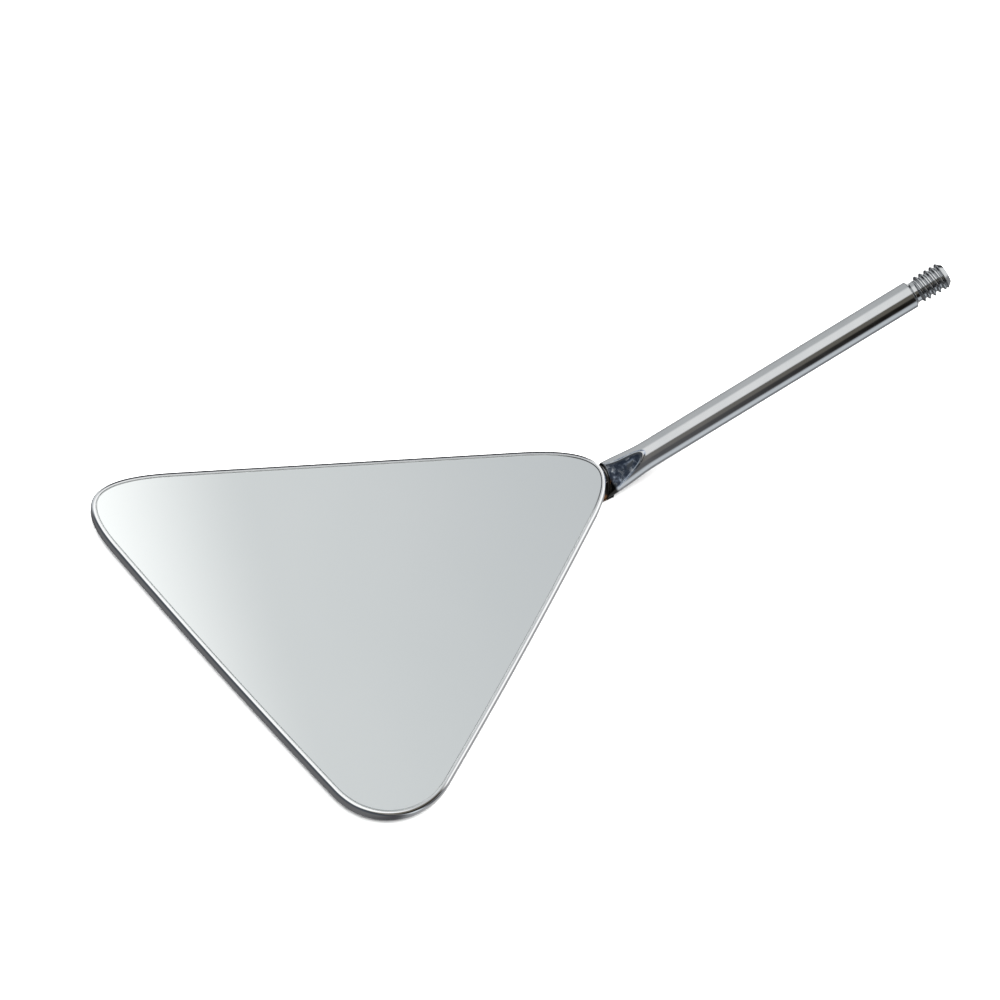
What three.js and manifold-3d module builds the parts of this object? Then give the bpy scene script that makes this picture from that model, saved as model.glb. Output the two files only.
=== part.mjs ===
// Mouth mirror with a large rounded-triangle head and a screw-in stem, in millimetres, +Z up.
//
// The head lies flat with its mirror facing +Z, and the stem leaves it over +X, rising out of the plane
// of the mirror. The origin is under the middle of the object, on the surface that it lies on.
// One corner of the triangle, the stem corner, is narrow; its twin is on the far side of the base edge,
// and the third corner, the nose, is broad.

import * as THREE from 'three';
import { mergeVertices } from 'three/addons/utils/BufferGeometryUtils.js';
import Module from 'manifold-3d';

const wasm = await Module();
wasm.setup();

// ---------------------------------------------------------------- driving dimensions

// Head outline: the sharp triangle, then how much of each side its rounded corners take.
const HALF_BASE = 31.4;
const HEIGHT = 45.7;
const BASE_TRIM = 12.8;
const LEG_TRIM = 10.8;
const NOSE_TRIM = 10.8;
const NARROW_FULLNESS = 0.71;
const NOSE_FULLNESS = 0.5;
const LEG_BULGE = 0.2;
const CORNER_STEPS = 14;
const LEG_STEPS = 6;

// The outline's middle, below its base edge, and how the head sits against the stem's vertical plane.
const MIDDLE_BELOW_BASE = 15.12;
const HEAD_TURN = THREE.MathUtils.degToRad(-21.62);
const HEAD_SHIFT = -0.42;

// Cup: a shallow drawn tray with a rolled rim.
const HEAD_THICKNESS = 1.4;
const FLOOR_THICKNESS = 0.3;
const RIM_WIDTH = 0.5;
const RIM_ROUND = 0.16;
const RIM_SEGMENTS = 4;

// Layers inside the cup, from its floor up. Each one is clear of the next by LAYER_GAP.
const LAYER_GAP = 0.02;
const PAD_THICKNESS = 0.3;
const GLASS_THICKNESS = 0.66;
const COATING_THICKNESS = 0.03;
const SEAL_WIDTH = 0.08;
const SEAL_DROP = 0.05;

// Stem: a round rod, a little thicker at its threaded end, whose lower end is pressed down to the level
// of the leaf and scooped on top. On the nose's side of the object (-Y) it stays round, and on the far
// side it spreads wider and thinner.
const STEM_RISE = THREE.MathUtils.degToRad(21);
const STEM_ROOT = new THREE.Vector3(29.89, 0, 0.7);
const ROD_LENGTH = 38.28;
const ROD_RADIUS_LOW = 1.51;
const ROD_RADIUS_HIGH = 1.545;
const ROD_OVERRUN = 2.5;
const PRESSED_LENGTH = 5.4;
const PRESSED_WIDEN_NEAR = 0.14;
const PRESSED_WIDEN_FAR = 0.4;
const PRESSED_THIN_FAR = 0.36;
const PRESSED_SINK = 0.36;
const FLANK_BLEND = 0.35;
const PRESSED_STEP = 0.6;
const SCOOP_RADIUS = 30;
const SCOOP_REACH = 4.5;
const SCOOP_ROOT_HEIGHT = 0.2;
const SCOOP_SEGMENTS = 240;
const CUTTER_LENGTH = 12;
const STEM_SEGMENTS = 28;

// Tongue: the leaf-shaped end of the stem that laps under the cup.
const TONGUE_THICKNESS = 0.6;
const TONGUE_LENGTH = 9;
const TONGUE_HALF_WIDTH = 1.75;
const TONGUE_NOSE = 3.4;
const TONGUE_OVERRUN = 0.3;
const NOSE_STEPS = 18;
const CUP_CLEARANCE = 0.03;

// Reach of the solids that are cut away, past what they cut.
const POCKET_OVERRUN = 1;
const CUP_OVERRUN = 4;
const BELOW_LENGTH = 60;
const BELOW_REACH = 9;

// Threaded stud at the top of the stem.
const STUD_LENGTH = 4.34;
const NECK_RADIUS = 1.18;
const NECK_START = 0.24;
const NECK_END = 0.95;
const CREST_RADIUS = 1.5;
const ROOT_RADIUS = 1.2;
const PITCH = 0.645;
const CREST_HALF_FLAT = 0.06 * PITCH;
const THREAD_TURNS = 5;
const TIP_RADIUS = 1.07;

// Weld bead around the tongue, on the back of the cup.
const BEAD_RADIUS = 0.24;
const BEAD_GAP = 0.03;
const BEAD_SET_BACK = 2.8;
const BEAD_STEPS = 60;
const BEAD_SEGMENTS = 5;

const MERGE_DISTANCE = 1e-4;

// ---------------------------------------------------------------- solids

function toSolid(geometry) {
  const bare = geometry.index ? geometry : geometry.clone();
  bare.deleteAttribute('normal');
  bare.deleteAttribute('uv');
  const merged = mergeVertices(bare, MERGE_DISTANCE);
  return new wasm.Manifold(
    new wasm.Mesh({
      numProp: 3,
      vertProperties: new Float32Array(merged.attributes.position.array),
      triVerts: new Uint32Array(merged.index.array),
    }),
  );
}

function toGeometry(solid) {
  const mesh = solid.getMesh();
  const geometry = new THREE.BufferGeometry();
  geometry.setAttribute('position', new THREE.BufferAttribute(mesh.vertProperties, 3));
  geometry.setIndex(new THREE.BufferAttribute(mesh.triVerts, 1));
  geometry.computeVertexNormals();
  return geometry;
}

function named(name, geometry, material) {
  const mesh = new THREE.Mesh(geometry, material);
  mesh.name = name;
  return mesh;
}

// ---------------------------------------------------------------- head outline

// A point `distance` along the side that runs from one corner towards another.
function along(from, to, distance) {
  return from.clone().add(to.clone().sub(from).setLength(distance));
}

// A rounded corner: it starts and ends on the two sides, and leans towards the sharp corner.
function corner(start, sharp, end, fullness) {
  const first = start.clone().lerp(sharp, fullness);
  const second = end.clone().lerp(sharp, fullness);
  return new THREE.CubicBezierCurve(start, first, second, end);
}

// A side that bows outwards by `bulge` at its middle.
function side(start, end, outward, bulge) {
  const middle = start.clone().add(end).multiplyScalar(0.5).addScaledVector(outward, 2 * bulge);
  return new THREE.QuadraticBezierCurve(start, middle, end);
}

// The outline of the head, counter-clockwise, moved inwards by `inset`.
function headOutline(inset) {
  const stemCorner = new THREE.Vector2(HALF_BASE, MIDDLE_BELOW_BASE);
  const twinCorner = new THREE.Vector2(-HALF_BASE, MIDDLE_BELOW_BASE);
  const nose = new THREE.Vector2(0, MIDDLE_BELOW_BASE - HEIGHT);
  const twinOutward = new THREE.Vector2(-HEIGHT, -HALF_BASE).normalize();
  const stemOutward = new THREE.Vector2(HEIGHT, -HALF_BASE).normalize();

  const baseRight = along(stemCorner, twinCorner, BASE_TRIM);
  const baseLeft = along(twinCorner, stemCorner, BASE_TRIM);
  const twinLeg = along(twinCorner, nose, LEG_TRIM);
  const noseLeft = along(nose, twinCorner, NOSE_TRIM);
  const noseRight = along(nose, stemCorner, NOSE_TRIM);
  const stemLeg = along(stemCorner, nose, LEG_TRIM);

  const pieces = [
    [corner(baseLeft, twinCorner, twinLeg, NARROW_FULLNESS), CORNER_STEPS],
    [side(twinLeg, noseLeft, twinOutward, LEG_BULGE), LEG_STEPS],
    [corner(noseLeft, nose, noseRight, NOSE_FULLNESS), CORNER_STEPS],
    [side(noseRight, stemLeg, stemOutward, LEG_BULGE), LEG_STEPS],
    [corner(stemLeg, stemCorner, baseRight, NARROW_FULLNESS), CORNER_STEPS],
  ];
  const points = [baseLeft.clone().setY(MIDDLE_BELOW_BASE - inset)];
  for (const [curve, steps] of pieces) {
    for (let i = 1; i <= steps; i += 1) {
      const ahead = curve.getTangent(i / steps);
      const inwards = new THREE.Vector2(-ahead.y, ahead.x);
      points.push(curve.getPoint(i / steps).addScaledVector(inwards, inset));
    }
  }
  return points;
}

// A plate of the head's outline between two heights.
function plate(inset, low, high, holeInset = null) {
  const shape = new THREE.Shape(headOutline(inset));
  if (holeInset !== null) {
    shape.holes.push(new THREE.Path(headOutline(holeInset)));
  }
  const geometry = new THREE.ExtrudeGeometry(shape, { depth: high - low, bevelEnabled: false });
  return geometry.translate(0, 0, low);
}

// The same plate with its outer edges rounded.
function roundedPlate(low, high, round) {
  const shape = new THREE.Shape(headOutline(0));
  const geometry = new THREE.ExtrudeGeometry(shape, {
    depth: high - low - 2 * round,
    bevelThickness: round,
    bevelSize: round,
    bevelOffset: -round,
    bevelSegments: RIM_SEGMENTS,
  });
  return geometry.translate(0, 0, low + round);
}

// ---------------------------------------------------------------- head

const steel = new THREE.MeshStandardMaterial({ color: 0xc9ccce, metalness: 1, roughness: 0.16 });
const satinSteel = new THREE.MeshStandardMaterial({ color: 0xbfc2c5, metalness: 1, roughness: 0.2 });
const mirror = new THREE.MeshStandardMaterial({ color: 0xd6dcdc, metalness: 1, roughness: 0.02 });
const glass = new THREE.MeshStandardMaterial({ color: 0xdfeae6, metalness: 0, roughness: 0.05 });
const rubber = new THREE.MeshStandardMaterial({ color: 0x4a4c4f, metalness: 0, roughness: 0.8 });
const sealant = new THREE.MeshStandardMaterial({ color: 0x6f7375, metalness: 0, roughness: 0.6 });
const weldMetal = new THREE.MeshStandardMaterial({ color: 0xa79c8f, metalness: 1, roughness: 0.4 });

const padLow = FLOOR_THICKNESS + LAYER_GAP;
const glassLow = padLow + PAD_THICKNESS + LAYER_GAP;
const coatingLow = glassLow + GLASS_THICKNESS + LAYER_GAP;
const sealInset = RIM_WIDTH + LAYER_GAP;
const glassInset = sealInset + SEAL_WIDTH + LAYER_GAP;

function backCup() {
  const body = toSolid(roundedPlate(0, HEAD_THICKNESS, RIM_ROUND));
  const pocket = toSolid(plate(RIM_WIDTH, FLOOR_THICKNESS, HEAD_THICKNESS + POCKET_OVERRUN));
  return toGeometry(body.subtract(pocket));
}

function edgeSeal() {
  const top = glassLow + GLASS_THICKNESS - SEAL_DROP;
  return plate(sealInset, glassLow, top, sealInset + SEAL_WIDTH);
}

const head = new THREE.Group();
head.rotation.z = HEAD_TURN;
head.position.y = HEAD_SHIFT;
head.add(named('back_cup', backCup(), steel));
head.add(named('backing_pad', plate(sealInset, padLow, padLow + PAD_THICKNESS), rubber));
head.add(named('mirror_glass', plate(glassInset, glassLow, glassLow + GLASS_THICKNESS), glass));
head.add(named('mirror_coating', plate(glassInset, coatingLow, coatingLow + COATING_THICKNESS), mirror));
head.add(named('edge_seal', edgeSeal(), sealant));
head.updateMatrixWorld(true);

// ---------------------------------------------------------------- stem

// Radius and distance along the stem from its root, from the lower end to the tip of the stud.
function stemProfile() {
  const profile = [new THREE.Vector2(0, -ROD_OVERRUN), new THREE.Vector2(ROD_RADIUS_LOW, -ROD_OVERRUN)];
  for (let reach = 0; reach <= PRESSED_LENGTH; reach += PRESSED_STEP) {
    profile.push(new THREE.Vector2(ROD_RADIUS_LOW, reach));
  }
  profile.push(new THREE.Vector2(ROD_RADIUS_HIGH, ROD_LENGTH));
  profile.push(new THREE.Vector2(NECK_RADIUS, ROD_LENGTH + NECK_START));
  profile.push(new THREE.Vector2(NECK_RADIUS, ROD_LENGTH + NECK_END));
  for (let turn = 0; turn < THREAD_TURNS; turn += 1) {
    const crest = ROD_LENGTH + NECK_END + (turn + 0.5) * PITCH;
    profile.push(new THREE.Vector2(CREST_RADIUS, crest - CREST_HALF_FLAT));
    profile.push(new THREE.Vector2(CREST_RADIUS, crest + CREST_HALF_FLAT));
    profile.push(new THREE.Vector2(ROOT_RADIUS, crest + 0.5 * PITCH));
  }
  profile.push(new THREE.Vector2(TIP_RADIUS, ROD_LENGTH + STUD_LENGTH));
  profile.push(new THREE.Vector2(0, ROD_LENGTH + STUD_LENGTH));
  return profile;
}

// The lathed rod with its lower end pressed: sunk, and spread on its far flank.
function pressedRod() {
  const geometry = new THREE.LatheGeometry(stemProfile(), STEM_SEGMENTS);
  geometry.rotateZ(-Math.PI / 2);
  const points = geometry.attributes.position;
  for (let i = 0; i < points.count; i += 1) {
    const pressed = 1 - THREE.MathUtils.smoothstep(points.getX(i), 0, PRESSED_LENGTH);
    const across = -points.getZ(i);
    const far = THREE.MathUtils.smoothstep(across / ROD_RADIUS_LOW, -FLANK_BLEND, FLANK_BLEND);
    const widen = THREE.MathUtils.lerp(PRESSED_WIDEN_NEAR, PRESSED_WIDEN_FAR, far);
    const height = points.getY(i) * (1 - PRESSED_THIN_FAR * far * pressed) - PRESSED_SINK * pressed;
    points.setXYZ(i, points.getX(i), across * (1 + widen * pressed), height);
  }
  geometry.rotateY(-STEM_RISE);
  return geometry.translate(STEM_ROOT.x, STEM_ROOT.y, STEM_ROOT.z);
}

// Leaf outline in plan, from the pressed end of the rod round its blunt nose and back, moved out by `grow`.
function leafOutline(rootEnd, grow) {
  const tip = STEM_ROOT.x - TONGUE_LENGTH;
  const half = TONGUE_HALF_WIDTH + grow;
  const arc = new THREE.EllipseCurve(
    tip + TONGUE_NOSE,
    0,
    TONGUE_NOSE + grow,
    half,
    0.5 * Math.PI,
    1.5 * Math.PI,
  );
  const outline = [new THREE.Vector2(rootEnd, half)];
  outline.push(...arc.getPoints(NOSE_STEPS));
  outline.push(new THREE.Vector2(rootEnd, -half));
  return outline;
}

function tongue() {
  const shape = new THREE.Shape(leafOutline(STEM_ROOT.x - TONGUE_OVERRUN, 0));
  const geometry = new THREE.ExtrudeGeometry(shape, { depth: TONGUE_THICKNESS, bevelEnabled: false });
  return geometry.translate(0, 0, -TONGUE_THICKNESS);
}

// A crosswise cylinder that scoops the top of the pressed end, from the rod's top at SCOOP_REACH down to
// SCOOP_ROOT_HEIGHT above the rod's axis at the rim.
function scoopCutter() {
  const high = ROD_RADIUS_LOW;
  const low = SCOOP_ROOT_HEIGHT;
  const chord = new THREE.Vector2(SCOOP_REACH, high - low);
  const back = Math.sqrt(SCOOP_RADIUS ** 2 - chord.lengthSq() / 4);
  const normal = new THREE.Vector2(-chord.y, chord.x).setLength(back);
  const cutter = new THREE.CylinderGeometry(SCOOP_RADIUS, SCOOP_RADIUS, CUTTER_LENGTH, SCOOP_SEGMENTS);
  cutter.translate(chord.x / 2 + normal.x, 0, low + chord.y / 2 + normal.y);
  cutter.rotateY(-STEM_RISE);
  return cutter.translate(STEM_ROOT.x, STEM_ROOT.y, STEM_ROOT.z);
}

function box(low, high) {
  const size = high.clone().sub(low);
  const middle = low.clone().add(high).multiplyScalar(0.5);
  return new THREE.BoxGeometry(size.x, size.y, size.z).translate(middle.x, middle.y, middle.z);
}

function stem() {
  const cup = plate(-CUP_CLEARANCE, -CUP_CLEARANCE, HEAD_THICKNESS + CUP_OVERRUN);
  cup.applyMatrix4(head.matrixWorld);
  const below = box(
    new THREE.Vector3(0, -BELOW_REACH, -BELOW_REACH),
    new THREE.Vector3(BELOW_LENGTH, BELOW_REACH, -TONGUE_THICKNESS),
  );
  let solid = toSolid(pressedRod());
  solid = solid.add(toSolid(tongue()));
  solid = solid.subtract(toSolid(cup));
  solid = solid.subtract(toSolid(below));
  solid = solid.subtract(toSolid(scoopCutter()));
  return toGeometry(solid);
}

// The bead runs around the leaf, just clear of its edge and of the back face.
function weldBead() {
  const outline = leafOutline(STEM_ROOT.x - BEAD_SET_BACK, BEAD_RADIUS + BEAD_GAP);
  const path = outline.map((p) => new THREE.Vector3(p.x, p.y, -BEAD_RADIUS - BEAD_GAP));
  const section = new THREE.Shape();
  section.absarc(0, 0, BEAD_RADIUS, 0, 2 * Math.PI);
  return new THREE.ExtrudeGeometry(section, {
    steps: BEAD_STEPS,
    curveSegments: BEAD_SEGMENTS,
    bevelEnabled: false,
    extrudePath: new THREE.CatmullRomCurve3(path),
  });
}

const mouthMirror = new THREE.Group();
mouthMirror.add(head);
mouthMirror.add(named('stem', stem(), satinSteel));
mouthMirror.add(named('weld_bead', weldBead(), weldMetal));

// Until here lengths are counted from the middle of the head's back face. Now the origin moves to the
// middle of the whole footprint, at the level of the lowest point.
const extent = new THREE.Box3().setFromObject(mouthMirror, true);
const middle = extent.getCenter(new THREE.Vector3());
mouthMirror.position.set(-middle.x, -middle.y, -extent.min.z);

export default mouthMirror;
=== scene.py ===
"""Mouth mirror with a large rounded-triangle head, its polished cup, glass and threaded stem."""

import math

import bmesh
import bpy
from mathutils import Matrix, Vector, noise


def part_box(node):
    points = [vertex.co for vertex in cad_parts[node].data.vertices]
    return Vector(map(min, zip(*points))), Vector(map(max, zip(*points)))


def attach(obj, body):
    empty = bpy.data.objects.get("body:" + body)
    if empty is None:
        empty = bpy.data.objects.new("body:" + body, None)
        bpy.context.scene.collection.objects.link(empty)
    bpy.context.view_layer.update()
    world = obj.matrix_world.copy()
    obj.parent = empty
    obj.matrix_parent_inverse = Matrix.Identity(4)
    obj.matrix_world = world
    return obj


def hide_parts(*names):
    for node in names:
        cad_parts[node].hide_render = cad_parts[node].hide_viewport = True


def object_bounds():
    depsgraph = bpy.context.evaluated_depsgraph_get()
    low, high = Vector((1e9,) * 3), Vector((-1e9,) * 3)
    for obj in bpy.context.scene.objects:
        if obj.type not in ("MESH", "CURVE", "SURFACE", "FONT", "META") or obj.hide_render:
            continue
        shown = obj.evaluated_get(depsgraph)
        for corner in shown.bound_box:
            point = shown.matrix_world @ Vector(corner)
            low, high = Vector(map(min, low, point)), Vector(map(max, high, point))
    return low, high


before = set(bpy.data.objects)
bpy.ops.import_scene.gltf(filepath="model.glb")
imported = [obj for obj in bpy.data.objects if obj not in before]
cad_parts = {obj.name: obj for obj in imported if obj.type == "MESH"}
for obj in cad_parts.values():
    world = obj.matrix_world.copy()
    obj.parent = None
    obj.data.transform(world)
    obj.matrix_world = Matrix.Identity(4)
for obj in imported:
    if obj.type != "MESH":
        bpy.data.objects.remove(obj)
cad_low, cad_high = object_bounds()

MM = 0.001
TURN = 2 * math.pi

# ---------------------------------------------------------------- driving dimensions, in millimetres

# Head outline: the sharp triangle, and how much of each side its rounded corners take. OUTLINE_INSET
# keeps the piece inside the box of the CAD part.
HALF_BASE = 31.4
HEIGHT = 45.7
BASE_TRIM = 12.8
LEG_TRIM = 10.8
NOSE_TRIM = 10.8
NARROW_FULLNESS = 0.71
NOSE_FULLNESS = 0.5
LEG_BULGE = 0.2
MIDDLE_BELOW_BASE = 15.12
HEAD_TURN = math.radians(-21.62)
HEAD_SHIFT = -0.42
OUTLINE_INSET = 0.012
CORNER_STEPS = 56
LEG_STEPS = 24
BASE_STEPS = 24

# Cup and what it holds.
RIM_WIDTH = 0.5
RIM_OUTER_ROUND = 0.4
RIM_CROWN_RADIUS = 0.5
RIM_PEAK_RADIUS = 0.08
RIM_INNER_ROUND = 0.03
RIM_OUTER_TILT = 118
RIM_INNER_TILT = 68
RIM_STEPS = 8
PEAK_STEPS = 4
INNER_STEPS = 5
FLOOR_THICKNESS = 0.3
FLOOR_INSET = 2.0
FLOOR_FILLET = 0.1
CUP_ROUND = 0.16
CUP_ROUND_STEPS = 6
GLASS_INSET = 0.62
GLASS_BEVEL = 0.05
GLASS_FRONT_BEVEL = 0.02
COAT_BEVEL = 0.012
COAT_UNDERCUT = 0.01
COAT_OVERLAP = 0.004
SEAL_INSET = 0.52
SEAL_WIDTH = 0.08
SEAL_SAG = 0.02
SEAL_SHOULDER = 0.3
# How far the painted shade on the sealant reaches back from the stem's corner.
APEX_SHADE_REACH = 4.5

# Stem.
STEM_RISE = math.radians(21)
STEM_ROOT = Vector((29.89, 0, 0.7))
ROD_LENGTH = 38.28
ROD_RADIUS_LOW = 1.51
ROD_RADIUS_HIGH = 1.545
PRESSED_LENGTH = 5.4
PRESSED_WIDEN_NEAR = 0.14
PRESSED_WIDEN_FAR = 0.4
PRESSED_THIN_FAR = 0.36
PRESSED_SINK = 0.36
FLANK_BLEND = 0.35

# Scoop: a flat cut on top of the pressed end, with a raised lip, dents and pits.
SCOOP_REACH = 4.55
SCOOP_LOW = 0.2
SCOOP_HIGH = 1.45
SCOOP_SLOPE = (SCOOP_HIGH - SCOOP_LOW) / SCOOP_REACH
SCOOP_FLANK = -0.3
LIP_HEIGHT = 0.07
LIP_OUTSIDE = 0.08
LIP_INSIDE = 0.12
DENT_RATE = 0.9
DENT_DEPTH = 0.07
DENT_FULL = 0.25
DENT_FADE_START = 0.8
DENT_FADE_END = 1.1
PIT_RATE = 2.7
PIT_DEPTH = 0.018

# Groove between the cup's wall and the scoop.
GROOVE_START = 0.2
GROOVE_END = 0.75
GROOVE_FLOOR = -0.5
GROOVE_TOP = 1.4 * ROD_RADIUS_HIGH

# How the stem's lower end follows the curve of the cup's wall.
WALL_FROM_X = 24.0
WALL_FADE = 3.0
WALL_ROUNDS = 4

# Stations along the stem, and points round it.
STEM_SIDES = 200
PRESSED_STEP = 0.05
PRESSED_EXTRA = 8
ROD_STEPS = 60
SHOULDER_BELOW = 0.2
SHOULDER_ABOVE = 0.3
SHOULDER_STEPS = 30
THREAD_STEPS = 190

# Tongue: the flat leaf under the cup.
TONGUE_THICKNESS = 0.6
TONGUE_LENGTH = 9.0
TONGUE_HALF_WIDTH = 1.75
TONGUE_NOSE = 3.4
TONGUE_TOP = -0.02
TONGUE_TIP_HALF_WIDTH = 0.02
TONGUE_OVERLAP = 0.1
TONGUE_SQUARENESS = 0.35
TONGUE_SIDES = 32
TONGUE_STEPS = 24
STRAIGHT_STEPS = 20
CUP_CLEARANCE = 0.04

# Stud.
STUD_LENGTH = 4.334
NECK_RADIUS = 1.18
NECK_START = 0.24
NECK_END = 0.95
CREST_RADIUS = 1.5
ROOT_RADIUS = 1.19
PITCH = 0.645
THREAD_PHASE = 1.196
THREAD_START = NECK_END - 0.35
THREAD_FULL = NECK_END + 0.1
RIDGE_TOP = 0.07
RIDGE_FOOT = 0.43
SHOULDER_CHAMFER = 0.06
TIP_RADIUS = 1.07
TIP_CHAMFER = 0.5
TIP_FULL = 0.5
TIP_RUN_OUT = 0.3

# Weld bead.
BEAD_RADIUS = 0.24
BEAD_GAP = 0.03
BEAD_SET_BACK = 2.8
BEAD_TURN_STEPS = 60
BEAD_SIDES = 14
BEAD_END_SHARE = 0.35
BEAD_END_STEPS = 4
RIPPLE_RATE = 1.25
RIPPLE_DEPTH = 0.1
UNEVENNESS_RATE = 0.3
UNEVENNESS = 0.06

# Light and floor, the floor in metres.
LIGHT_STRENGTH = 7.5
LIGHT_SPREAD = math.radians(80)
STUDIO_FLOOR_SIZE = 6.0
STUDIO_FLOOR_DROP = 0.00002

# Camera, its distances in metres and its lens in millimetres.
CAMERA_AZIMUTH = math.radians(-45.7)
CAMERA_ELEVATION = math.radians(62.0)
CAMERA_DISTANCE = 0.3202
CAMERA_LENS = 108.0
CAMERA_AIM = Vector((-0.005735, 0.004144, 0.0))
CAMERA_ROLL = math.radians(18.0)


def smoothstep(low, high, value):
    t = min(1.0, max(0.0, (value - low) / (high - low)))
    return t * t * (3 - 2 * t)


def lerp(a, b, t):
    return a + (b - a) * t


def between(start, end, steps):
    """Even values from just past the start to the end."""
    return [lerp(start, end, i / steps) for i in range(1, steps + 1)]


# ---------------------------------------------------------------- meshes


def mesh_piece(name, points, faces, smooth_angle=math.radians(40)):
    """A piece that rides on the root body, from points in millimetres from the back of the head."""
    mesh = bpy.data.meshes.new(name)
    mesh.from_pydata([HEAD_BACK + Vector(p) * MM for p in points], [], faces)
    work = bmesh.new()
    work.from_mesh(mesh)
    bmesh.ops.remove_doubles(work, verts=work.verts, dist=1e-8)
    bmesh.ops.recalc_face_normals(work, faces=work.faces)
    work.to_mesh(mesh)
    work.free()
    mesh.shade_smooth()
    mesh.set_sharp_from_angle(angle=smooth_angle)
    piece = bpy.data.objects.new(name, mesh)
    bpy.context.scene.collection.objects.link(piece)
    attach(piece, "root")
    return piece


def ring_faces(rings, count, closed=False):
    """Quads between consecutive rings of `count` points each."""
    faces = []
    for r in range(rings if closed else rings - 1):
        here = r * count
        there = (r + 1) % rings * count
        for i in range(count):
            j = (i + 1) % count
            faces.append((here + i, here + j, there + j, there + i))
    return faces


# ---------------------------------------------------------------- head outline


def bezier(points, t):
    """A point on a Bezier curve of any degree, and its direction there."""
    while len(points) > 2:
        points = [a.lerp(b, t) for a, b in zip(points, points[1:])]
    return points[0].lerp(points[1], t), (points[1] - points[0]).normalized()


def head_outline():
    """Points and inward normals of the head's outline, counter-clockwise."""
    stem_corner = Vector((HALF_BASE, MIDDLE_BELOW_BASE))
    twin_corner = Vector((-HALF_BASE, MIDDLE_BELOW_BASE))
    nose = Vector((0, MIDDLE_BELOW_BASE - HEIGHT))

    def along(start, end, distance):
        return start + (end - start).normalized() * distance

    def corner(start, sharp, end, fullness):
        return [start, start.lerp(sharp, fullness), end.lerp(sharp, fullness), end]

    def side(start, end, outward, bulge):
        return [start, (start + end) / 2 + outward.normalized() * 2 * bulge, end]

    base_right = along(stem_corner, twin_corner, BASE_TRIM)
    base_left = along(twin_corner, stem_corner, BASE_TRIM)
    twin_leg = along(twin_corner, nose, LEG_TRIM)
    nose_left = along(nose, twin_corner, NOSE_TRIM)
    nose_right = along(nose, stem_corner, NOSE_TRIM)
    stem_leg = along(stem_corner, nose, LEG_TRIM)
    curves = [
        ([base_right, base_left], BASE_STEPS),
        (corner(base_left, twin_corner, twin_leg, NARROW_FULLNESS), CORNER_STEPS),
        (side(twin_leg, nose_left, Vector((-HEIGHT, -HALF_BASE)), LEG_BULGE), LEG_STEPS),
        (corner(nose_left, nose, nose_right, NOSE_FULLNESS), CORNER_STEPS),
        (side(nose_right, stem_leg, Vector((HEIGHT, -HALF_BASE)), LEG_BULGE), LEG_STEPS),
        (corner(stem_leg, stem_corner, base_right, NARROW_FULLNESS), CORNER_STEPS),
    ]
    turn = Matrix.Rotation(HEAD_TURN, 2)
    shift = Vector((0, HEAD_SHIFT))
    outline = []
    for curve, steps in curves:
        for i in range(steps):
            point, ahead = bezier(curve, i / steps)
            inward = Vector((-ahead.y, ahead.x))
            outline.append((turn @ (point + inward * OUTLINE_INSET) + shift, turn @ inward))
    return outline


OUTLINE = head_outline()


def middle_of(values):
    return (min(values) + max(values)) / 2


def head_back():
    """Where the middle of the head's back face is in the row frame, in metres."""
    low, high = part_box("back_cup")
    x = (low[0] + high[0]) / 2 - middle_of([point.x for point, _ in OUTLINE]) * MM
    y = (low[1] + high[1]) / 2 - middle_of([point.y for point, _ in OUTLINE]) * MM
    return Vector((x, y, low[2]))


HEAD_BACK = head_back()


def swept_round_head(name, section, closed):
    """A section of (inset, height) pairs carried round the head's outline."""
    points = []
    for inset, height in section:
        for point, inward in OUTLINE:
            points.append((*(point + inward * inset), height))
    count = len(OUTLINE)
    faces = ring_faces(len(section), count, closed)
    if not closed:
        faces.append(tuple(range(count)))
        faces.append(tuple(range((len(section) - 1) * count, len(section) * count)))
    return mesh_piece(name, points, faces)


def arc(centre, radius, start, end, steps):
    """Points of an arc in the section plane, angles in degrees."""
    points = []
    for i in range(steps + 1):
        angle = math.radians(lerp(start, end, i / steps))
        points.append((centre[0] + radius * math.cos(angle), centre[1] + radius * math.sin(angle)))
    return points


def heights(node):
    """Lowest and highest point of a CAD node above the back of the head, in millimetres."""
    low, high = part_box(node)
    return (low[2] - HEAD_BACK.z) / MM, (high[2] - HEAD_BACK.z) / MM


# ---------------------------------------------------------------- pieces of the head


def rim_section(top):
    """The rolled rim from the wall to the glass: rounding, sloping crown, peak and inner edge."""
    outer, crown = RIM_OUTER_ROUND, RIM_CROWN_RADIUS
    tilt = math.radians(RIM_OUTER_TILT)
    peak_inset = outer + (outer - crown) * math.cos(tilt)
    crown_centre = (peak_inset, top - crown)
    outer_centre = (outer, top - crown + (crown - outer) * math.sin(tilt))
    peak_centre = (peak_inset, top - RIM_PEAK_RADIUS)
    section = arc(outer_centre, outer, 180, RIM_OUTER_TILT, RIM_STEPS)
    section += arc(crown_centre, crown, RIM_OUTER_TILT, 90, RIM_STEPS)[1:]
    section += arc(peak_centre, RIM_PEAK_RADIUS, 90, RIM_INNER_TILT, PEAK_STEPS)[1:]
    inner_centre = (RIM_WIDTH - RIM_INNER_ROUND, section[-1][1] - RIM_INNER_ROUND)
    return section + arc(inner_centre, RIM_INNER_ROUND, RIM_INNER_TILT, 0, INNER_STEPS)


def cup_shell():
    """Drawn tray: flat back, rounded edge, upright wall, and a rim rolled over onto the glass."""
    top = heights("back_cup")[1]
    section = [(FLOOR_INSET, 0.0)]
    section += arc((CUP_ROUND, CUP_ROUND), CUP_ROUND, 270, 180, CUP_ROUND_STEPS)
    section += [(0.0, top / 2)]
    section += rim_section(top)
    section += [(RIM_WIDTH, FLOOR_THICKNESS + FLOOR_FILLET), (RIM_WIDTH + FLOOR_FILLET, FLOOR_THICKNESS)]
    section += [(FLOOR_INSET, FLOOR_THICKNESS)]
    return swept_round_head("cup_shell", section, closed=False)


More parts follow.
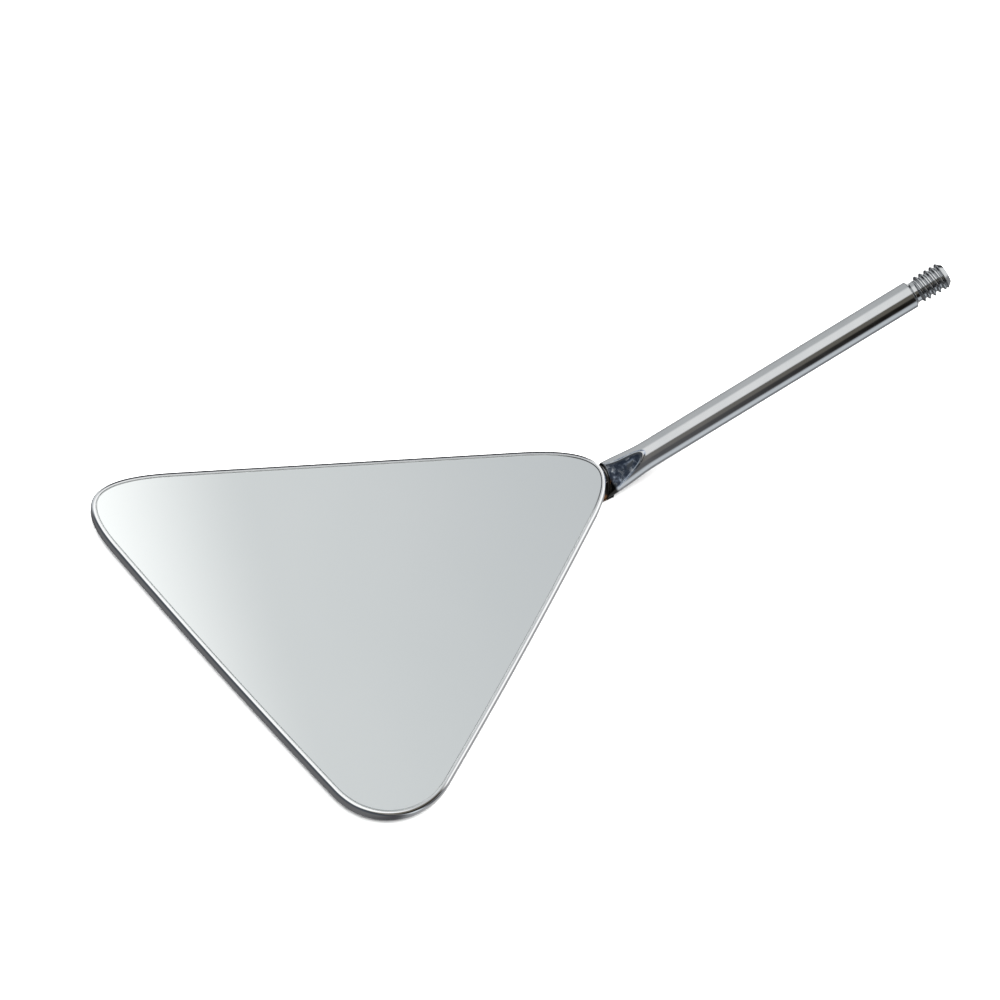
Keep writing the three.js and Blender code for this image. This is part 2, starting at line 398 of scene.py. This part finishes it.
def glass_plate():
    low, high = heights("mirror_glass")
    section = [
        (GLASS_INSET + GLASS_BEVEL, low),
        (GLASS_INSET, low + GLASS_BEVEL),
        (GLASS_INSET, high),
        (GLASS_INSET + GLASS_FRONT_BEVEL, high + COAT_OVERLAP),
    ]
    return swept_round_head("glass_plate", section, closed=False)


def reflecting_coat():
    """The silvered front, with the fine chamfer of the ground glass edge below it."""
    low, high = heights("mirror_coating")
    section = [
        (GLASS_INSET + COAT_UNDERCUT, low),
        (GLASS_INSET, low + COAT_OVERLAP),
        (GLASS_INSET + COAT_BEVEL, high),
    ]
    return swept_round_head("reflecting_coat", section, closed=False)


def edge_sealant():
    """A soft fillet that fills the gap between the rim and the glass."""
    low, high = heights("edge_seal")
    outer = SEAL_INSET
    inner = SEAL_INSET + SEAL_WIDTH
    section = [
        (outer, low),
        (outer, high),
        (lerp(outer, inner, SEAL_SHOULDER), high - SEAL_SAG),
        (lerp(outer, inner, 1 - SEAL_SHOULDER), high - SEAL_SAG),
        (inner, high),
        (inner, low),
    ]
    return swept_round_head("edge_sealant", section, closed=True)


# ---------------------------------------------------------------- stem


def wall_reach():
    """The cup wall near the stem as a function from y to x, a hair outside the wall."""
    near = [p - inward * CUP_CLEARANCE for p, inward in OUTLINE if p.x > WALL_FROM_X]
    near.sort(key=lambda p: p.y)

    def reach(y):
        for a, b in zip(near, near[1:]):
            if a.y <= y <= b.y:
                return lerp(a.x, b.x, (y - a.y) / (b.y - a.y))
        return near[0].x if y < near[0].y else near[-1].x

    return reach


WALL = wall_reach()


def rod_radius(s, angle):
    """Radius of the stem at a distance from its root, with the stud's true helix."""
    from_shoulder = s - ROD_LENGTH
    rod = lerp(ROD_RADIUS_LOW, ROD_RADIUS_HIGH, min(1.0, s / ROD_LENGTH))
    if from_shoulder < -SHOULDER_CHAMFER:
        return rod
    if from_shoulder < NECK_START:
        down = (from_shoulder + SHOULDER_CHAMFER) / (NECK_START + SHOULDER_CHAMFER)
        return lerp(rod, NECK_RADIUS, down)
    phase = (from_shoulder - THREAD_PHASE) / PITCH - angle / TURN
    from_crest = abs(phase - round(phase))
    ridge = 1 - smoothstep(RIDGE_TOP, RIDGE_FOOT, from_crest)
    starts = smoothstep(THREAD_START, THREAD_FULL, from_shoulder)
    root = lerp(NECK_RADIUS, ROOT_RADIUS, starts)
    radius = lerp(root, CREST_RADIUS, ridge * starts)
    left = STUD_LENGTH - from_shoulder
    radius = lerp(radius, CREST_RADIUS, smoothstep(TIP_FULL + TIP_RUN_OUT, TIP_FULL, left))
    return min(radius, TIP_RADIUS + max(0.0, left) * (CREST_RADIUS - TIP_RADIUS) / TIP_CHAMFER)


def scoop_bumps(x, y):
    """Uneven floor of the scoop: broad dents, with fine pits over them."""
    place = Vector((x, y, 0))
    broad = noise.noise(place * DENT_RATE + Vector((3.1, 0.7, 0)))
    fine = noise.noise(place * PIT_RATE + Vector((0.4, 5.2, 0)))
    return DENT_DEPTH * broad + PIT_DEPTH * fine


def scooped(s, across, height):
    """The height after the scoop's flat cut, which leaves a fine raised lip along its edge."""
    share = s / SCOOP_REACH
    floor = SCOOP_LOW + SCOOP_SLOPE * s
    over = height - floor
    if over < -LIP_OUTSIDE:
        return height
    fade = smoothstep(0.0, DENT_FULL, over) * (1 - smoothstep(DENT_FADE_START, DENT_FADE_END, share))
    dents = scoop_bumps(s, across) * fade
    lip = smoothstep(-LIP_OUTSIDE, 0.0, over) * (1 - smoothstep(0.0, LIP_INSIDE, over))
    return min(height, floor) + dents + LIP_HEIGHT * lip


def stem_section(u, s, angle):
    """A point of the stem in its own frame: across and height, u beyond the cup's wall."""
    radius = rod_radius(s, angle)
    pressed = 1 - smoothstep(0, PRESSED_LENGTH, s)
    far = smoothstep(-FLANK_BLEND, FLANK_BLEND, math.cos(angle))
    widen = lerp(PRESSED_WIDEN_NEAR, PRESSED_WIDEN_FAR, far)
    across = radius * math.cos(angle) * (1 + widen * pressed)
    thin = PRESSED_THIN_FAR * far * pressed
    height = radius * math.sin(angle) * (1 - thin) - PRESSED_SINK * pressed
    if pressed > 0 and height > SCOOP_FLANK:
        height = scooped(s, across, height)
    groove = lerp(GROOVE_FLOOR, GROOVE_TOP, smoothstep(GROOVE_START, GROOVE_END, u))
    belly = -(TONGUE_THICKNESS + STEM_ROOT.z + s * math.sin(STEM_RISE)) / math.cos(STEM_RISE)
    return across, max(min(height, groove), belly)


def stem_point(u, angle):
    """A point of the stem's surface: u runs along the stem from the cup's wall."""
    s = u
    for _ in range(WALL_ROUNDS):
        across, height = stem_section(u, s, angle)
        set_back = (WALL(across) - WALL(0)) * (1 - smoothstep(0.0, WALL_FADE, abs(u)))
        s = u + set_back
    x = STEM_ROOT.x + s * math.cos(STEM_RISE) - height * math.sin(STEM_RISE)
    z = STEM_ROOT.z + s * math.sin(STEM_RISE) + height * math.cos(STEM_RISE)
    return Vector((x, across, max(z, -TONGUE_THICKNESS)))


def stem_body():
    """Pressed end, rod, shoulder, relief neck and threaded stud."""
    rod_end = ROD_LENGTH - SHOULDER_BELOW
    neck = ROD_LENGTH + SHOULDER_ABOVE
    stations = [PRESSED_STEP * i for i in range(int(PRESSED_LENGTH / PRESSED_STEP) + PRESSED_EXTRA)]
    stations += between(stations[-1], rod_end, ROD_STEPS)
    stations += between(rod_end, neck, SHOULDER_STEPS)
    stations += between(neck, ROD_LENGTH + STUD_LENGTH, THREAD_STEPS)
    points = []
    for u in stations:
        for i in range(STEM_SIDES):
            points.append(stem_point(u, TURN * i / STEM_SIDES))
    faces = ring_faces(len(stations), STEM_SIDES)
    first = len(points) - STEM_SIDES
    faces.append(tuple(range(first, first + STEM_SIDES)))
    faces.append(tuple(range(STEM_SIDES)))
    return mesh_piece("stem_body", points, faces, math.radians(50))


def leaf_half_width(x):
    """Half the leaf's width at x: a blunt elliptical nose, then parallel sides."""
    from_tip = x - (STEM_ROOT.x - TONGUE_LENGTH)
    if from_tip >= TONGUE_NOSE:
        return TONGUE_HALF_WIDTH
    return TONGUE_HALF_WIDTH * math.sqrt(max(0.0, 1 - (1 - from_tip / TONGUE_NOSE) ** 2))


def squared(value):
    """Pushes a sine or cosine outwards, so that a circle becomes a rounded square."""
    return math.copysign(abs(value) ** TONGUE_SQUARENESS, value)


def stem_leaf():
    """The end of the stem pressed into a thin leaf with rounded edges."""
    tip = STEM_ROOT.x - TONGUE_LENGTH
    turns = [math.radians(90 * i / TONGUE_STEPS) for i in range(TONGUE_STEPS + 1)]
    stations = [tip + TONGUE_NOSE * (1 - math.cos(angle)) for angle in turns]
    stations += between(stations[-1], STEM_ROOT.x + TONGUE_OVERLAP, STRAIGHT_STEPS)
    points = []
    for x in stations:
        half = max(TONGUE_TIP_HALF_WIDTH, leaf_half_width(x))
        for i in range(TONGUE_SIDES):
            angle = TURN * i / TONGUE_SIDES
            across = half * squared(math.cos(angle))
            share = 0.5 - 0.5 * squared(math.sin(angle))
            points.append((x, across, lerp(TONGUE_TOP, -TONGUE_THICKNESS, share)))
    faces = ring_faces(len(stations), TONGUE_SIDES)
    faces.append(tuple(range(TONGUE_SIDES)))
    faces.append(tuple(range(len(points) - TONGUE_SIDES, len(points))))
    return mesh_piece("stem_leaf", points, faces, math.radians(50))


def bead_path():
    """Centre line of the weld bead, round the leaf from one side of the stem to the other."""
    reach = BEAD_RADIUS + BEAD_GAP
    half = TONGUE_HALF_WIDTH + reach
    nose = STEM_ROOT.x - TONGUE_LENGTH + TONGUE_NOSE
    start = STEM_ROOT.x - BEAD_SET_BACK
    path = [Vector((lerp(start, nose, i / STRAIGHT_STEPS), half)) for i in range(STRAIGHT_STEPS)]
    for i in range(BEAD_TURN_STEPS + 1):
        angle = math.radians(90 + 180 * i / BEAD_TURN_STEPS)
        path.append(Vector((nose + (TONGUE_NOSE + reach) * math.cos(angle), half * math.sin(angle))))
    return path + [Vector((x, -half)) for x in between(nose, start, STRAIGHT_STEPS)]


def weld_fillet():
    """A rippled bead that fills the corner between the leaf's edge and the back of the cup."""
    path = bead_path()
    points = []
    for k, centre in enumerate(path):
        ahead = (path[min(k + 1, len(path) - 1)] - path[max(k - 1, 0)]).normalized()
        outward = Vector((-ahead.y, ahead.x))
        uneven = UNEVENNESS * abs(noise.noise(Vector((k * UNEVENNESS_RATE, 0, 0))))
        ripple = 1 - RIPPLE_DEPTH + RIPPLE_DEPTH * math.cos(k * RIPPLE_RATE) - uneven
        ends = smoothstep(-1, BEAD_END_STEPS, min(k, len(path) - 1 - k))
        radius = BEAD_RADIUS * ripple * lerp(BEAD_END_SHARE, 1.0, ends)
        for i in range(BEAD_SIDES):
            angle = TURN * i / BEAD_SIDES
            flat = centre + outward * radius * math.cos(angle)
            points.append((flat.x, flat.y, -BEAD_GAP - radius + radius * math.sin(angle)))
    faces = ring_faces(len(path), BEAD_SIDES)
    faces.append(tuple(range(BEAD_SIDES)))
    faces.append(tuple(range(len(points) - BEAD_SIDES, len(points))))
    return mesh_piece("weld_fillet", points, faces, math.radians(60))


# ---------------------------------------------------------------- materials


def new_material(name):
    material = bpy.data.materials.new(name)
    material.use_nodes = True
    nodes = material.node_tree.nodes
    shader = nodes["Principled BSDF"]
    return material, nodes, material.node_tree.links, shader


def noise_node(nodes, links, coordinates, scale, detail=4.0, stretch=None, distortion=0.0):
    texture = nodes.new("ShaderNodeTexNoise")
    texture.inputs["Scale"].default_value = scale
    texture.inputs["Detail"].default_value = detail
    texture.inputs["Distortion"].default_value = distortion
    if stretch is None:
        links.new(coordinates, texture.inputs["Vector"])
        return texture.outputs["Fac"]
    mapping = nodes.new("ShaderNodeMapping")
    mapping.inputs["Scale"].default_value = stretch
    links.new(coordinates, mapping.inputs["Vector"])
    links.new(mapping.outputs["Vector"], texture.inputs["Vector"])
    return texture.outputs["Fac"]


def ramp_node(nodes, links, value, stops):
    ramp = nodes.new("ShaderNodeValToRGB")
    elements = ramp.color_ramp.elements
    while len(elements) < len(stops):
        elements.new(0.5)
    for element, (position, colour) in zip(elements, stops):
        element.position = position
        element.color = (*colour, 1.0)
    links.new(value, ramp.inputs["Fac"])
    return ramp.outputs["Color"]


def range_node(nodes, links, value, from_low, from_high, to_low, to_high, smooth=False):
    node = nodes.new("ShaderNodeMapRange")
    node.interpolation_type = "SMOOTHSTEP" if smooth else "LINEAR"
    node.inputs["From Min"].default_value = from_low
    node.inputs["From Max"].default_value = from_high
    node.inputs["To Min"].default_value = to_low
    node.inputs["To Max"].default_value = to_high
    links.new(value, node.inputs["Value"])
    return node.outputs["Result"]


def bump_node(nodes, links, shader, height, strength, distance):
    bump = nodes.new("ShaderNodeBump")
    bump.inputs["Strength"].default_value = strength
    bump.inputs["Distance"].default_value = distance
    links.new(height, bump.inputs["Height"])
    links.new(bump.outputs["Normal"], shader.inputs["Normal"])


def object_coordinates(nodes):
    return nodes.new("ShaderNodeTexCoord").outputs["Object"]


def polished_steel():
    material, nodes, links, shader = new_material("polished_steel")
    where = object_coordinates(nodes)
    cloud = noise_node(nodes, links, where, 300.0)
    links.new(ramp_node(nodes, links, cloud, [(0.3, (0.80, 0.81, 0.82)), (0.7, (0.86, 0.87, 0.88))]),
              shader.inputs["Base Color"])
    shader.inputs["Metallic"].default_value = 1.0
    fine = noise_node(nodes, links, where, 2500.0, stretch=(1.0, 1.0, 0.15))
    links.new(range_node(nodes, links, fine, 0.3, 0.7, 0.05, 0.11), shader.inputs["Roughness"])
    return material


def distance_node(nodes, links, where, normal, point):
    """Signed distance from a plane, in metres, at the object coordinates `where`."""
    dot = nodes.new("ShaderNodeVectorMath")
    dot.operation = "DOT_PRODUCT"
    dot.inputs[1].default_value = normal
    links.new(where, dot.inputs[0])
    shift = nodes.new("ShaderNodeMath")
    shift.operation = "SUBTRACT"
    shift.inputs[1].default_value = normal.dot(point)
    links.new(dot.outputs["Value"], shift.inputs[0])
    return shift.outputs["Value"]


def mix_node(nodes, links, factor, a, b, kind="RGBA"):
    """A mix of two colours or two numbers, each either a constant or a socket."""
    node = nodes.new("ShaderNodeMix")
    node.data_type = kind
    links.new(factor, node.inputs["Factor"])
    for name, value in (("A", a), ("B", b)):
        socket = [s for s in node.inputs if s.name == name and s.type in (kind, "VALUE")][-1]
        if isinstance(value, tuple):
            socket.default_value = (*value, 1.0)
        elif isinstance(value, float):
            socket.default_value = value
        else:
            links.new(value, socket)
    return [s for s in node.outputs if s.type in (kind, "VALUE")][-1]


def scoop_mask(nodes, links, where):
    """One on the floor of the scoop, nought on the rest of the stem."""
    ahead = Vector((math.cos(STEM_RISE), 0, math.sin(STEM_RISE)))
    upward = Vector((-math.sin(STEM_RISE), 0, math.cos(STEM_RISE)))
    normal = upward - ahead * SCOOP_SLOPE
    point = HEAD_BACK + (STEM_ROOT + upward * SCOOP_LOW) * MM
    above = distance_node(nodes, links, where, normal, point)
    under_lip = range_node(nodes, links, above, 0.03 * MM, 0.045 * MM, 1.0, 0.0, smooth=True)
    over_flank = range_node(nodes, links, above, -0.1 * MM, -0.06 * MM, 0.0, 1.0, smooth=True)
    both = nodes.new("ShaderNodeMath")
    both.operation = "MULTIPLY"
    links.new(under_lip, both.inputs[0])
    links.new(over_flank, both.inputs[1])
    return both.outputs["Value"]


def root_mask(nodes, links, where):
    """One beside the cup, fading to nought within a millimetre along the stem."""
    ahead = Vector((math.cos(STEM_RISE), 0, math.sin(STEM_RISE)))
    beyond = distance_node(nodes, links, where, ahead, HEAD_BACK + STEM_ROOT * MM)
    return range_node(nodes, links, beyond, 0.25 * MM, 0.6 * MM, 1.0, 0.0, smooth=True)


def stem_steel():
    """Drawn bright steel with a dull forged scoop. Beside the weld there is painted shade of the crevice
    at the cup's wall, near black, with brown heat-tint spots.
    """
    material, nodes, links, shader = new_material("stem_steel")
    where = object_coordinates(nodes)
    scoop = scoop_mask(nodes, links, where)
    cloud = noise_node(nodes, links, where, 220.0)
    bright = ramp_node(nodes, links, cloud, [(0.3, (0.53, 0.545, 0.56)), (0.7, (0.58, 0.59, 0.60))])
    scale = noise_node(nodes, links, where, 1000.0, 6.0, distortion=1.2)
    forged = ramp_node(nodes, links, scale, [
        (0.38, (0.22, 0.27, 0.36)),
        (0.52, (0.42, 0.47, 0.56)),
        (0.66, (0.72, 0.75, 0.78)),
    ])
    # Painted shade: near black beside the cup's wall, where the crevice lies in shadow, with brown spots
    # of real heat tint among it.
    shade_tint_pattern = noise_node(nodes, links, where, 700.0, 3.0)
    crevice_shade_and_heat_tint = ramp_node(nodes, links, shade_tint_pattern, [(0.56, (0.02, 0.018, 0.016)), (0.66, (0.26, 0.13, 0.06))])
    surface = mix_node(nodes, links, scoop, bright, forged)
    root = root_mask(nodes, links, where)
    links.new(mix_node(nodes, links, root, surface, crevice_shade_and_heat_tint), shader.inputs["Base Color"])
    shader.inputs["Metallic"].default_value = 1.0
    drawn = noise_node(nodes, links, where, 1800.0, stretch=(0.04, 1.0, 1.0))
    polish = range_node(nodes, links, drawn, 0.3, 0.7, 0.07, 0.14)
    dull = range_node(nodes, links, scale, 0.42, 0.68, 0.13, 0.34)
    links.new(mix_node(nodes, links, scoop, polish, dull, "FLOAT"), shader.inputs["Roughness"])
    bump_node(nodes, links, shader, drawn, 0.05, 0.02 * MM)
    return material


def silvered_mirror():
    material, nodes, links, shader = new_material("silvered_mirror")
    where = object_coordinates(nodes)
    cloud = noise_node(nodes, links, where, 60.0)
    links.new(ramp_node(nodes, links, cloud, [(0.3, (0.87, 0.90, 0.90)), (0.7, (0.89, 0.915, 0.915))]),
              shader.inputs["Base Color"])
    shader.inputs["Metallic"].default_value = 1.0
    smear = noise_node(nodes, links, where, 140.0, stretch=(1.0, 0.3, 1.0))
    links.new(range_node(nodes, links, smear, 0.35, 0.75, 0.015, 0.04), shader.inputs["Roughness"])
    return material


def clear_glass():
    material, nodes, links, shader = new_material("clear_glass")
    where = object_coordinates(nodes)
    ground = noise_node(nodes, links, where, 1500.0)
    shader.inputs["Base Color"].default_value = (0.55, 0.62, 0.62, 1.0)
    shader.inputs["IOR"].default_value = 1.5
    links.new(range_node(nodes, links, ground, 0.3, 0.7, 0.25, 0.45), shader.inputs["Roughness"])
    return material


def sealant():
    """Grey sealing cement, darkened beside the weld by painted shade."""
    material, nodes, links, shader = new_material("sealant")
    where = object_coordinates(nodes)
    grain = noise_node(nodes, links, where, 900.0)
    clean = ramp_node(nodes, links, grain, [(0.3, (0.28, 0.29, 0.29)), (0.7, (0.34, 0.35, 0.35))])
    # Painted shade: the sealant turns near black towards the stem's corner.
    near_stem = HEAD_BACK + (STEM_ROOT - Vector((APEX_SHADE_REACH, 0, 0))) * MM
    beyond = distance_node(nodes, links, where, Vector((1, 0, 0)), near_stem)
    apex_shade = range_node(nodes, links, beyond, 0.0, 3 * MM, 0.0, 1.0, smooth=True)
    links.new(mix_node(nodes, links, apex_shade, clean, (0.06, 0.062, 0.066)), shader.inputs["Base Color"])
    shader.inputs["Roughness"].default_value = 0.55
    bump_node(nodes, links, shader, grain, 0.2, 0.03 * MM)
    return material


def rubber_pad():
    material, nodes, links, shader = new_material("rubber_pad")
    where = object_coordinates(nodes)
    grain = noise_node(nodes, links, where, 1200.0)
    links.new(ramp_node(nodes, links, grain, [(0.3, (0.05, 0.05, 0.055)), (0.7, (0.08, 0.08, 0.085))]),
              shader.inputs["Base Color"])
    shader.inputs["Roughness"].default_value = 0.85
    bump_node(nodes, links, shader, grain, 0.3, 0.05 * MM)
    return material


def weld_metal():
    material, nodes, links, shader = new_material("weld_metal")
    where = object_coordinates(nodes)
    tint = noise_node(nodes, links, where, 420.0)
    links.new(ramp_node(nodes, links, tint, [(0.3, (0.42, 0.36, 0.28)), (0.7, (0.50, 0.48, 0.45))]),
              shader.inputs["Base Color"])
    shader.inputs["Metallic"].default_value = 1.0
    ripple = noise_node(nodes, links, where, 1600.0)
    links.new(range_node(nodes, links, ripple, 0.3, 0.7, 0.25, 0.5), shader.inputs["Roughness"])
    bump_node(nodes, links, shader, ripple, 0.3, 0.04 * MM)
    return material


def pale_floor():
    material, nodes, links, shader = new_material("pale_floor")
    where = object_coordinates(nodes)
    grain = noise_node(nodes, links, where, 400.0)
    links.new(ramp_node(nodes, links, grain, [(0.3, (0.88, 0.88, 0.88)), (0.7, (0.90, 0.90, 0.90))]),
              shader.inputs["Base Color"])
    shader.inputs["Roughness"].default_value = 0.9
    shader.inputs["Specular IOR Level"].default_value = 0.1
    return material


# ---------------------------------------------------------------- what the metal reflects

GREY_WALL = (0.70, 0.715, 0.72)
WALL_ON_THE_RIGHT = (0.57, 0.585, 0.60)
LOW_WALL = (0.48, 0.49, 0.50)
DIM_FRONT = (0.26, 0.25, 0.24)
DIM_FRONT_ASIDE = (0.17, 0.155, 0.13)
DARK_FRONT = (0.17, 0.17, 0.175)
BLACK = (0.012, 0.010, 0.008)
TABLE = (0.84, 0.88, 0.92)
TABLE_EDGE = (0.30, 0.31, 0.32)
TABLE_SHADE = (0.07, 0.07, 0.075)
TABLE_ON_THE_RIGHT = (0.35, 0.35, 0.36)
FAR_CORNER = (0.05, 0.05, 0.055)
BELOW = (0.5, 0.5, 0.5)
LEFT_LOW = (0.075, 0.075, 0.08)
LEFT_FAR = (0.15, 0.15, 0.155)
LEFT_HIGH = (0.08, 0.09, 0.105)
LEFT_LIT = (0.62, 0.65, 0.67)
SOFT_BOX = (1.17, 1.17, 1.16)
FAR_WINDOW = (1.15, 1.15, 1.14)
LOW_WINDOW = (1.1, 1.1, 1.1)
WHITE = (1.0, 1.0, 1.0)


class StudioPaint:
    """Masks over the directions of the world, and colours laid over each other with them."""

    def __init__(self, world):
        self.nodes, self.links = world.node_tree.nodes, world.node_tree.links
        self.direction = self.nodes.new("ShaderNodeTexCoord").outputs["Generated"]
        self.along = self.reach((0.934, 0.0, 0.358))
        self.over = self.reach((-0.336, -0.328, 0.883))
        self.behind = self.reach((-0.117, 0.945, 0.306))
        self.upward = self.reach((0.0, 0.0, 1.0))
        self.round_stem = self.calculate("ARCTAN2", self.both(self.behind, -1.0), self.over)

    def reach(self, axis):
        """How far a direction goes along an axis."""
        node = self.nodes.new("ShaderNodeVectorMath")
        node.operation = "DOT_PRODUCT"
        node.inputs[1].default_value = axis
        self.links.new(self.direction, node.inputs[0])
        return node.outputs["Value"]

    def calculate(self, operation, a, b):
        node = self.nodes.new("ShaderNodeMath")
        node.operation = operation
        for socket, value in zip(node.inputs, (a, b)):
            if isinstance(value, float):
                socket.default_value = value
            else:
                self.links.new(value, socket)
        return node.outputs["Value"]

    def both(self, a, b):
        return self.calculate("MULTIPLY", a, b)

    def step(self, value, start, full):
        """A soft mask: nought where the value is `start`, and one where it is `full`."""
        return range_node(self.nodes, self.links, value, start, full, 0.0, 1.0, smooth=True)

    def turned(self, start, full):
        """The same round the stem, in degrees: 0 is overhead, 90 the near side and -90 the far side."""
        return self.step(self.round_stem, math.radians(start), math.radians(full))

    def cover(self, mask, under, over):
        return mix_node(self.nodes, self.links, mask, under, over)


def wall_colour(paint):
    """The grey wall overhead and behind, which is darker on the right and lower down."""
    wall = paint.cover(paint.step(paint.along, 0.55, 0.68), GREY_WALL, WALL_ON_THE_RIGHT)
    return paint.cover(paint.turned(-105, -148), wall, LOW_WALL)


def front_colour(paint):
    """The unlit near side, darkest low down and deeper to either side of the stem's middle."""
    right = paint.step(paint.along, 0.03, 0.13)
    aside = paint.calculate("ADD", right, paint.step(paint.along, -0.05, -0.14))
    dim = paint.cover(aside, DIM_FRONT, DIM_FRONT_ASIDE)
    dim = paint.cover(paint.step(paint.along, -0.04, -0.1), dim, BLACK)
    dark = paint.cover(aside, DARK_FRONT, BLACK)
    return paint.cover(paint.turned(24, 39), dim, dark)


def left_colour(paint):
    """The dark left end of the room, which is lit behind and overhead."""
    low = paint.cover(paint.step(paint.along, -0.35, -0.65), LEFT_LOW, LEFT_FAR)
    left = paint.cover(paint.step(paint.upward, -0.3, 0.15), low, LEFT_HIGH)
    left = paint.cover(paint.step(paint.behind, 0.62, 0.95), left, LEFT_LIT)
    return paint.cover(paint.step(paint.upward, 0.72, 0.88), left, LEFT_LIT)


def room_colour(paint, near_side):
    """The room without its lamps: wall, unlit front, pale table, far corner and left end."""
    room = paint.cover(near_side, wall_colour(paint), front_colour(paint))
    table = paint.turned(63, 86)
    table_edge = paint.turned(104, 128)
    room = paint.cover(table, room, TABLE)
    room = paint.cover(table_edge, room, TABLE_EDGE)
    far_corner = paint.both(paint.step(paint.along, 0.14, 0.24), paint.turned(-72, -86))
    room = paint.cover(far_corner, room, FAR_CORNER)
    shade = paint.cover(paint.step(paint.behind, -0.88, -0.7), TABLE_SHADE, TABLE_ON_THE_RIGHT)
    room = paint.cover(paint.both(table, paint.step(paint.along, 0.13, 0.24)), room, shade)
    below = paint.both(paint.step(paint.over, -0.78, -0.93), paint.step(paint.behind, 0.05, -0.1))
    room = paint.cover(below, room, BELOW)
    on_table = paint.calculate("SUBTRACT", table, table_edge)
    to_the_left = paint.calculate("SUBTRACT", paint.along, paint.both(on_table, 0.12))
    return paint.cover(paint.step(to_the_left, -0.12, -0.32), room, left_colour(paint))


def soft_box_mask(paint, near_side):
    """A soft box overhead, as long as the stem and the head's left part."""
    across = paint.both(paint.turned(-74, -54), paint.calculate("SUBTRACT", 1.0, near_side))
    up_to_right = paint.both(across, paint.step(paint.along, 0.568, 0.512))
    return paint.both(up_to_right, paint.step(paint.along, -0.32, -0.12))


def far_window_mask(paint):
    """A window that fills the right end of the room, lower behind than in front."""
    high = paint.step(paint.upward, 0.12, 0.32)
    low = paint.both(paint.step(paint.behind, -0.1, 0.1), paint.step(paint.upward, -0.45, -0.2))
    return paint.both(paint.calculate("MAXIMUM", high, low), paint.step(paint.along, 0.76, 0.86))


def low_window_mask(paint):
    """A window below the level of the table's top, on the right."""
    low = paint.both(paint.step(paint.along, 0.2, 0.35), paint.step(paint.upward, 0.1, -0.1))
    band = paint.both(paint.step(paint.behind, -0.2, 0.0), paint.step(paint.behind, 0.4, 0.25))
    return paint.both(low, band)


def studio_world():
    """The room and its lamps for the reflections, and plain white for the camera."""
    world = bpy.data.worlds.new("studio")
    bpy.context.scene.world = world
    world.use_nodes = True
    paint = StudioPaint(world)
    near_side = paint.turned(-9, 2)
    lit = paint.cover(soft_box_mask(paint, near_side), room_colour(paint, near_side), SOFT_BOX)
    lit = paint.cover(far_window_mask(paint), lit, FAR_WINDOW)
    lit = paint.cover(low_window_mask(paint), lit, LOW_WINDOW)
    seen = paint.nodes.new("ShaderNodeLightPath").outputs["Is Camera Ray"]
    background = paint.nodes["Background"]
    paint.links.new(paint.cover(seen, lit, WHITE), background.inputs["Color"])
    background.inputs["Strength"].default_value = 1.0


# ---------------------------------------------------------------- light, floor and camera


def overhead_light():
    """Broad even light for the floor and the shadows."""
    data = bpy.data.lights.new("overhead", "SUN")
    data.energy = LIGHT_STRENGTH
    data.angle = LIGHT_SPREAD
    light = bpy.data.objects.new("overhead", data)
    light.rotation_euler = (math.radians(-8), math.radians(14), 0)
    light.visible_glossy = False
    bpy.context.scene.collection.objects.link(light)


def studio_floor():
    low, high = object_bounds()
    middle = (low + high) / 2
    middle.z = low.z - STUDIO_FLOOR_DROP
    bpy.ops.mesh.primitive_plane_add(size=STUDIO_FLOOR_SIZE, location=middle)
    floor = bpy.context.object
    floor.name = "floor"
    floor.data.materials.append(pale_floor())
    floor.visible_glossy = False


def studio_camera():
    low, high = cad_low, cad_high
    target = (low + high) / 2 + CAMERA_AIM
    target.z = HEAD_BACK.z
    back = Vector((
        math.sin(CAMERA_AZIMUTH) * math.cos(CAMERA_ELEVATION),
        -math.cos(CAMERA_AZIMUTH) * math.cos(CAMERA_ELEVATION),
        math.sin(CAMERA_ELEVATION),
    ))
    data = bpy.data.cameras.new("camera")
    data.lens = CAMERA_LENS
    data.sensor_width = 36.0
    data.clip_start = 0.01
    data.clip_end = 20.0
    camera = bpy.data.objects.new("camera", data)
    level = (-back).to_track_quat("-Z", "Y").to_matrix().to_4x4()
    roll = Matrix.Rotation(CAMERA_ROLL, 4, "Z")
    camera.matrix_world = Matrix.Translation(target + back * CAMERA_DISTANCE) @ level @ roll
    bpy.context.scene.collection.objects.link(camera)
    bpy.context.scene.camera = camera


# ---------------------------------------------------------------- the assembled object


def finish_piece(piece, node, material):
    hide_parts(node)
    piece.data.materials.append(material)


steel_of_stem = stem_steel()
finish_piece(cup_shell(), "back_cup", polished_steel())
finish_piece(glass_plate(), "mirror_glass", clear_glass())
finish_piece(reflecting_coat(), "mirror_coating", silvered_mirror())
finish_piece(edge_sealant(), "edge_seal", sealant())
finish_piece(stem_body(), "stem", steel_of_stem)
finish_piece(stem_leaf(), "stem", steel_of_stem)
finish_piece(weld_fillet(), "weld_bead", weld_metal())

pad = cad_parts["backing_pad"]
pad.data.materials.clear()
pad.data.materials.append(rubber_pad())

bpy.context.scene.view_settings.view_transform = "Standard"
studio_world()
overhead_light()
studio_floor()
studio_camera()
